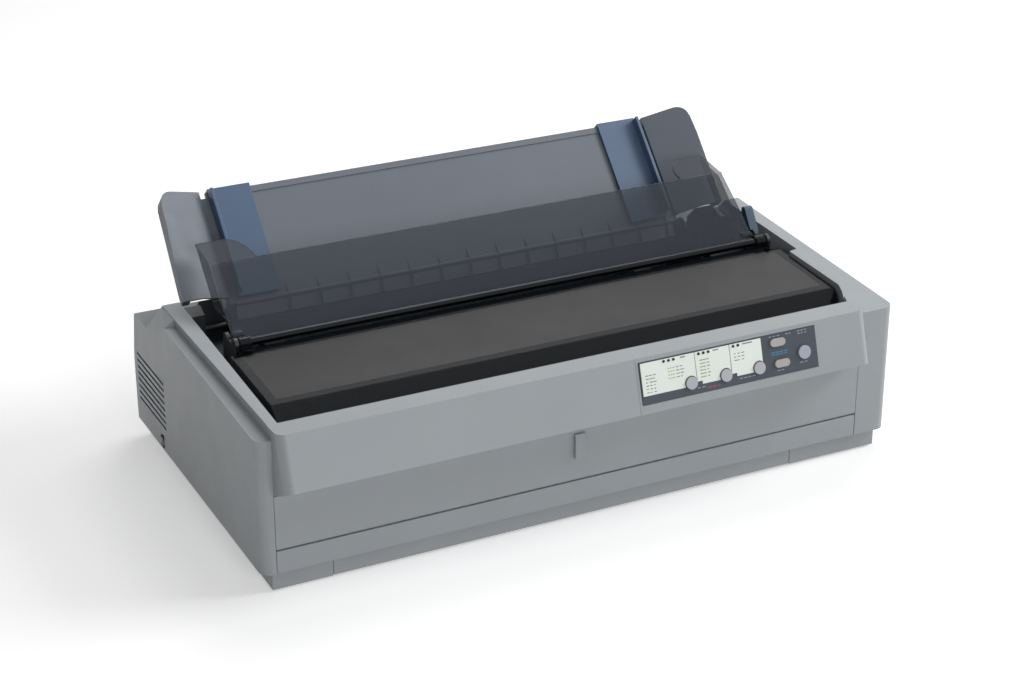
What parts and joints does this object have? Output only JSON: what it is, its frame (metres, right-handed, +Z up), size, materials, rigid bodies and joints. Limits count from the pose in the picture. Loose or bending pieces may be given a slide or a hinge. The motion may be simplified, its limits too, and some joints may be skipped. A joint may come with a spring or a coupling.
{
  "type": "dot matrix printer",
  "caption": "Wide carriage dot matrix printer with a smoke lid, raised rear cover, tilting sheet guide, front door, button panel and side knob.",
  "frame": {"origin": "floor point under the middle of the plinth", "axes": "+X to the right seen from the front, +Y to the rear, +Z up"},
  "size_m": [0.6402, 0.3728, 0.2353],
  "materials": {
    "black_plastic": "black ABS",
    "blue_plastic": "blue grey plastic",
    "board": "green circuit board",
    "button_plastic": "light grey buttons",
    "card": "off-white card",
    "case_plastic": "fine grained light grey ABS",
    "gear_plastic": "white acetal",
    "guide_plastic": "mid grey ABS",
    "lamp": "unlit green lamps",
    "motor_steel": "dark motor can",
    "panel_plastic": "dark grey plate",
    "ribbon_cloth": "inked ribbon",
    "rubber": "black rubber",
    "skirt_plastic": "fine grained light grey ABS",
    "smoke_plastic": "clear smoke acrylic",
    "steel": "zinc plated steel"
  },
  "bodies": {
    "case": {"base_tray": "case_plastic", "front_skirt": "skirt_plastic", "rubber_feet": "rubber", "upper_case": "case_plastic", "inner_frame": "black_plastic", "front_strip": "case_plastic", "control_panel": "panel_plastic", "label_cards": "card", "indicator_lamps": "lamp", "panel_board": "board", "cover_rod": "black_plastic", "hinge_brackets": "black_plastic", "side_frame_left": "steel", "side_frame_right": "steel", "frame_tie_bar": "steel", "frame_screws": "steel", "feed_motor": "motor_steel", "guide_rod": "steel", "ribbon_cartridge": "black_plastic", "ribbon": "ribbon_cloth", "timing_belt": "rubber", "carriage_motor": "motor_steel", "tractor_bar": "steel", "main_board": "board", "power_board": "board", "ac_inlet": "black_plastic", "parallel_connector": "steel"},
    "print_cover": {"print_cover": "smoke_plastic"},
    "rear_cover": {"rear_cover": "smoke_plastic"},
    "sheet_guide": {"sheet_guide": "guide_plastic"},
    "edge_guide_left": {"edge_guide_left": "blue_plastic"},
    "edge_guide_right": {"edge_guide_right": "blue_plastic"},
    "front_door": {"front_door": "case_plastic"},
    "door_latch": {"door_latch": "case_plastic"},
    "pitch_button": {"pitch_button": "button_plastic"},
    "font_button": {"font_button": "button_plastic"},
    "tear_off_button": {"tear_off_button": "button_plastic"},
    "load_button": {"load_button": "button_plastic"},
    "line_feed_button": {"line_feed_button": "button_plastic"},
    "pause_button": {"pause_button": "button_plastic"},
    "paper_release_lever": {"paper_release_lever": "blue_plastic"},
    "platen": {"platen": "rubber", "platen_shaft": "steel", "platen_knob": "case_plastic", "platen_gear": "gear_plastic"},
    "idler_gear": {"idler_gear": "gear_plastic"},
    "feed_pinion": {"feed_pinion": "steel"},
    "carriage": {"carriage": "black_plastic", "print_head": "black_plastic"},
    "ribbon_knob": {"ribbon_knob": "blue_plastic"},
    "motor_pulley": {"motor_pulley": "steel"},
    "idler_pulley": {"idler_pulley": "steel"},
    "tractor_shaft": {"tractor_shaft": "steel"},
    "tractor_left": {"tractor_left": "case_plastic"},
    "tractor_right": {"tractor_right": "case_plastic"},
    "tractor_cover_left": {"tractor_cover_left": "case_plastic"},
    "tractor_cover_right": {"tractor_cover_right": "case_plastic"},
    "sprocket_left": {"sprocket_left": "blue_plastic"},
    "sprocket_right": {"sprocket_right": "blue_plastic"},
    "power_switch": {"power_switch": "black_plastic"}
  },
  "joints": [
    {"name": "print_cover_hinge", "type": "hinge", "parent": "case", "child": "print_cover", "pos_m": [0, -0.0105, 0.156], "axis": [-1, 0, 0], "range_deg": [0, 100]},
    {"name": "rear_cover_hinge", "type": "hinge", "parent": "case", "child": "rear_cover", "pos_m": [0, 0.011, 0.1535], "axis": [1, 0, 0], "range_deg": [0, 40]},
    {"name": "sheet_guide_tilt", "type": "hinge", "parent": "case", "child": "sheet_guide", "pos_m": [0, 0.105, 0.134], "axis": [-1, 0, 0], "range_deg": [0, 30]},
    {"name": "edge_guide_left_slide", "type": "slide", "parent": "sheet_guide", "child": "edge_guide_left", "axis": [1, 0, 0], "range_m": [-0.008, 0.12]},
    {"name": "edge_guide_right_slide", "type": "slide", "parent": "sheet_guide", "child": "edge_guide_right", "axis": [1, 0, 0], "range_m": [-0.12, 0.008]},
    {"name": "front_door_hinge", "type": "hinge", "parent": "case", "child": "front_door", "pos_m": [0, -0.162, 0.043], "axis": [1, 0, 0], "range_deg": [0, 80]},
    {"name": "door_latch_slide", "type": "slide", "parent": "front_door", "child": "door_latch", "axis": [0, 0, 1], "range_m": [0, 0.004]},
    {"name": "pitch_button_press", "type": "slide", "parent": "case", "child": "pitch_button", "axis": [0, 0.9553, -0.2957], "range_m": [0, 0.001], "stiffness_N_per_m": 300, "springref_m": -0.0005},
    {"name": "font_button_press", "type": "slide", "parent": "case", "child": "font_button", "axis": [0, 0.9553, -0.2957], "range_m": [0, 0.001], "stiffness_N_per_m": 300, "springref_m": -0.0005},
    {"name": "tear_off_button_press", "type": "slide", "parent": "case", "child": "tear_off_button", "axis": [0, 0.9553, -0.2957], "range_m": [0, 0.001], "stiffness_N_per_m": 300, "springref_m": -0.0005},
    {"name": "load_button_press", "type": "slide", "parent": "case", "child": "load_button", "axis": [0, 0.9553, -0.2957], "range_m": [0, 0.001], "stiffness_N_per_m": 300, "springref_m": -0.0005},
    {"name": "line_feed_button_press", "type": "slide", "parent": "case", "child": "line_feed_button", "axis": [0, 0.9553, -0.2957], "range_m": [0, 0.001], "stiffness_N_per_m": 300, "springref_m": -0.0005},
    {"name": "pause_button_press", "type": "slide", "parent": "case", "child": "pause_button", "axis": [0, 0.9553, -0.2957], "range_m": [0, 0.001], "stiffness_N_per_m": 300, "springref_m": -0.0005},
    {"name": "paper_release_turn", "type": "hinge", "parent": "case", "child": "paper_release_lever", "pos_m": [0.2718, -0.001, 0.114], "axis": [1, 0, 0], "range_deg": [0, 22]},
    {"name": "platen_spin", "type": "hinge", "parent": "case", "child": "platen", "pos_m": [0, 0.03, 0.102], "axis": [1, 0, 0], "continuous": true},
    {"name": "idler_spin", "type": "hinge", "parent": "case", "child": "idler_gear", "pos_m": [-0.2465, 0.06, 0.08397], "axis": [1, 0, 0], "continuous": true},
    {"name": "pinion_spin", "type": "hinge", "parent": "case", "child": "feed_pinion", "pos_m": [-0.2465, 0.06, 0.06297], "axis": [1, 0, 0], "continuous": true},
    {"name": "tractor_shaft_spin", "type": "hinge", "parent": "case", "child": "tractor_shaft", "pos_m": [0, 0.087, 0.084], "axis": [1, 0, 0], "continuous": true},
    {"name": "carriage_slide", "type": "slide", "parent": "case", "child": "carriage", "axis": [1, 0, 0], "range_m": [-0.184, 0.184]},
    {"name": "motor_pulley_spin", "type": "hinge", "parent": "case", "child": "motor_pulley", "pos_m": [-0.221, 0.003, 0.062], "axis": [0, 0, 1], "continuous": true},
    {"name": "idler_pulley_spin", "type": "hinge", "parent": "case", "child": "idler_pulley", "pos_m": [0.221, 0.003, 0.062], "axis": [0, 0, 1], "continuous": true},
    {"name": "ribbon_knob_spin", "type": "hinge", "parent": "case", "child": "ribbon_knob", "pos_m": [-0.18, -0.089, 0.125], "axis": [0, 0, 1], "continuous": true},
    {"name": "tractor_left_slide", "type": "slide", "parent": "case", "child": "tractor_left", "axis": [1, 0, 0], "range_m": [-0.008, 0.06]},
    {"name": "tractor_right_slide", "type": "slide", "parent": "case", "child": "tractor_right", "axis": [1, 0, 0], "range_m": [-0.12, 0.008]},
    {"name": "tractor_cover_left_hinge", "type": "hinge", "parent": "tractor_left", "child": "tractor_cover_left", "pos_m": [-0.2004, 0.091, 0.0985], "axis": [0, -1, 0], "range_deg": [0, 110]},
    {"name": "tractor_cover_right_hinge", "type": "hinge", "parent": "tractor_right", "child": "tractor_cover_right", "pos_m": [0.2004, 0.091, 0.0985], "axis": [0, 1, 0], "range_deg": [0, 110]},
    {"name": "sprocket_left_spin", "type": "hinge", "parent": "tractor_left", "child": "sprocket_left", "pos_m": [-0.19, 0.087, 0.084], "axis": [1, 0, 0], "continuous": true},
    {"name": "sprocket_right_spin", "type": "hinge", "parent": "tractor_right", "child": "sprocket_right", "pos_m": [0.19, 0.087, 0.084], "axis": [1, 0, 0], "continuous": true},
    {"name": "power_switch_rock", "type": "hinge", "parent": "case", "child": "power_switch", "pos_m": [-0.3, 0.088, 0.027], "axis": [0, 1, 0], "range_deg": [-8, 8]}
  ],
  "couplings": [
    {"joint": "idler_spin", "follows": "platen_spin", "ratio": -1.3333},
    {"joint": "pinion_spin", "follows": "platen_spin", "ratio": 3.3333},
    {"joint": "tractor_shaft_spin", "follows": "platen_spin", "ratio": 1.6667},
    {"joint": "sprocket_left_spin", "follows": "platen_spin", "ratio": 1.6667},
    {"joint": "sprocket_right_spin", "follows": "platen_spin", "ratio": 1.6667},
    {"joint": "motor_pulley_spin", "follows": "carriage_slide", "rad_per_m": 129.87},
    {"joint": "idler_pulley_spin", "follows": "carriage_slide", "rad_per_m": 129.87}
  ]
}
